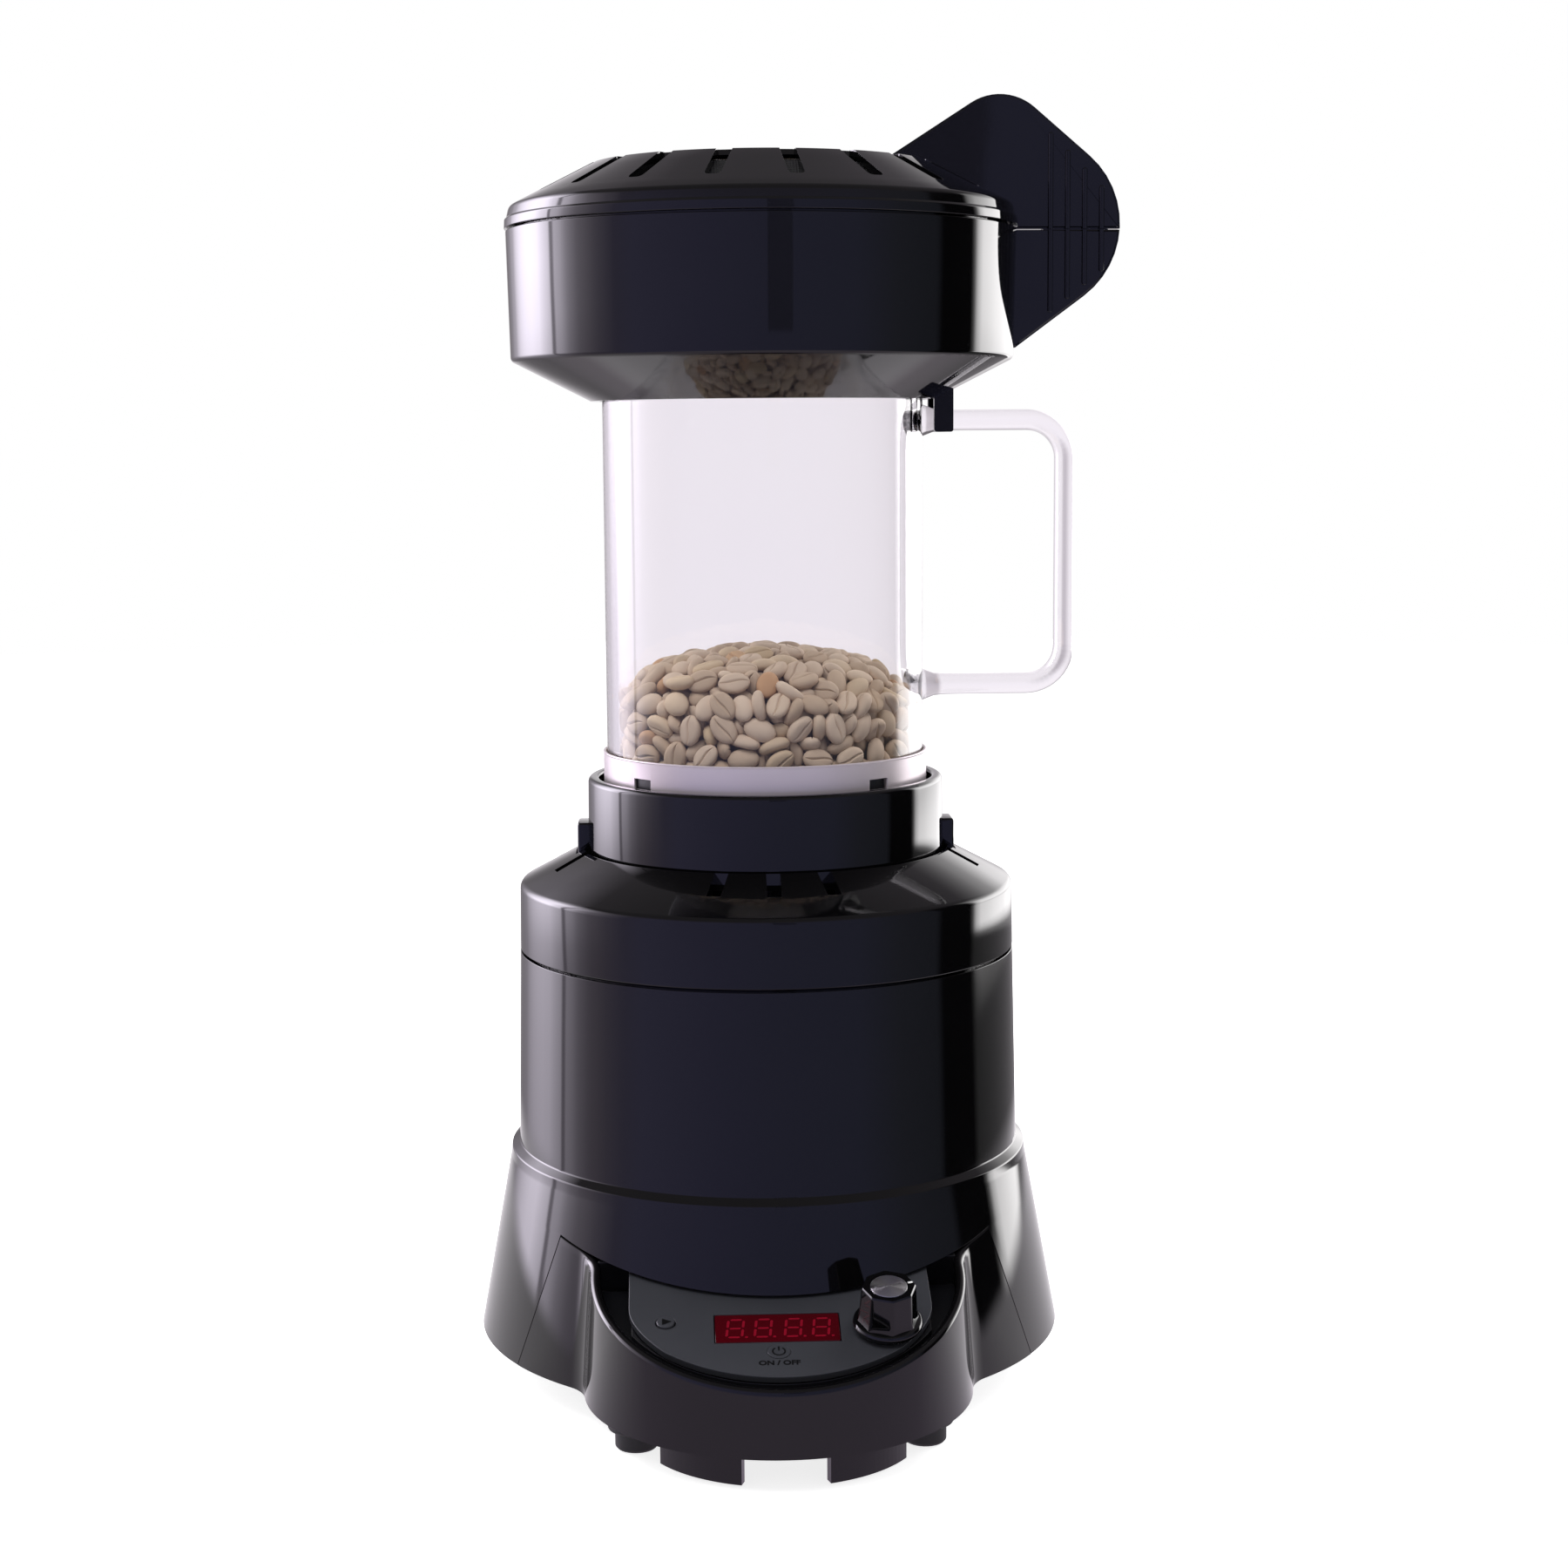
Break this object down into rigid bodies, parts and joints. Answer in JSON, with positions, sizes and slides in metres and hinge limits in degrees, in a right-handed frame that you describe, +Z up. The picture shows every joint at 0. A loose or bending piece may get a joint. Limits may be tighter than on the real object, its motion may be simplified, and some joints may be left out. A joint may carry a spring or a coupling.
{
  "type": "coffee bean roaster",
  "caption": "Countertop hot-air coffee bean roaster: black base with a tilted control panel, a lift-off glass roasting jug with a handle, and a chaff collector with a slotted lid and side grip.",
  "frame": {"origin": "on the table, at the middle of the part's outline seen from above", "axes": "+Z up along the machine's axis, the control panel faces -Y, the jug's handle and the collector's grip point to +X"},
  "size_m": [0.202, 0.2206, 0.3939],
  "materials": {
    "gloss_black": "glossy moulded",
    "panel_grey": "satin film",
    "window_red": "tinted, polished",
    "dark_plastic": "moulded matt",
    "board_green": "circuit board",
    "clear_glass": "clear, fire polished",
    "pale_metal": "satin spun",
    "steel": "plain",
    "turned_aluminium": "turned rings",
    "rubber": "matt",
    "seal_grey": "soft silicone",
    "mica": "layered sheet",
    "green_beans": "dry, matt"
  },
  "bodies": {
    "base": {"base_housing": "gloss_black", "top_cap": "gloss_black", "chamber_collar": "gloss_black", "seat_gasket": "seal_grey", "console_bezel": "gloss_black", "control_panel": "panel_grey", "display_window": "window_red", "display_module": "dark_plastic", "control_board": "board_green", "run_switch": "dark_plastic", "power_switch": "dark_plastic", "encoder_body": "steel", "bottom_plate": "gloss_black", "plate_screw_1": "steel", "plate_screw_2": "steel", "plate_screw_3": "steel", "plate_screw_4": "steel", "foot_front_left": "rubber", "foot_front_right": "rubber", "foot_side_left": "rubber", "foot_side_right": "rubber", "foot_rear": "rubber", "cord_inlet": "rubber", "blower_housing": "dark_plastic", "motor": "steel", "air_duct": "dark_plastic", "heater_sleeve": "steel", "heater_coil": "steel", "mica_cross": "mica", "thermal_cutout": "dark_plastic", "power_board": "board_green"},
    "chamber": {"glass_jug": "clear_glass", "chamber_band": "pale_metal", "air_diffuser": "steel", "glass_gasket": "seal_grey", "bean_charge": "green_beans"},
    "collector": {"collector_body": "gloss_black", "collector_throat": "gloss_black", "collector_seal": "seal_grey"},
    "lid": {"collector_lid": "gloss_black", "chaff_screen": "steel", "chaff_deflector": "steel"},
    "knob_stem": {"encoder_plunger": "dark_plastic"},
    "knob_dial": {"knob": "gloss_black", "knob_disc": "turned_aluminium", "encoder_spindle": "steel"},
    "run_key": {"run_button": "panel_grey"},
    "power_key": {"power_button": "panel_grey"},
    "fan": {"motor_shaft": "steel", "impeller": "dark_plastic"}
  },
  "joints": [
    {"name": "chamber_lift", "type": "slide", "parent": "base", "child": "chamber", "axis": [0, 0, 1], "range_m": [0, 0.06]},
    {"name": "collector_lift", "type": "slide", "parent": "chamber", "child": "collector", "axis": [0, 0, 1], "range_m": [0, 0.04]},
    {"name": "lid_lift", "type": "slide", "parent": "collector", "child": "lid", "axis": [0, 0, 1], "range_m": [0, 0.04]},
    {"name": "knob_press", "type": "slide", "parent": "base", "child": "knob_stem", "axis": [0, 0.2924, -0.9563], "range_m": [0, 0.0005], "stiffness_N_per_m": 700, "springref_m": -0.0006},
    {"name": "knob_turn", "type": "hinge", "parent": "knob_stem", "child": "knob_dial", "pos_m": [0.0208, -0.08144, 0.03872], "axis": [0, -0.2924, 0.9563], "continuous": true},
    {"name": "run_press", "type": "slide", "parent": "base", "child": "run_key", "axis": [0, 0.2924, -0.9563], "range_m": [0, 0.0005], "stiffness_N_per_m": 500, "springref_m": -0.0004},
    {"name": "power_press", "type": "slide", "parent": "base", "child": "power_key", "axis": [0, 0.2924, -0.9563], "range_m": [0, 0.0005], "stiffness_N_per_m": 500, "springref_m": -0.0004},
    {"name": "fan_spin", "type": "hinge", "parent": "base", "child": "fan", "pos_m": [-0.0092, 0.01845, 0.03], "axis": [0, 0, 1], "continuous": true}
  ]
}
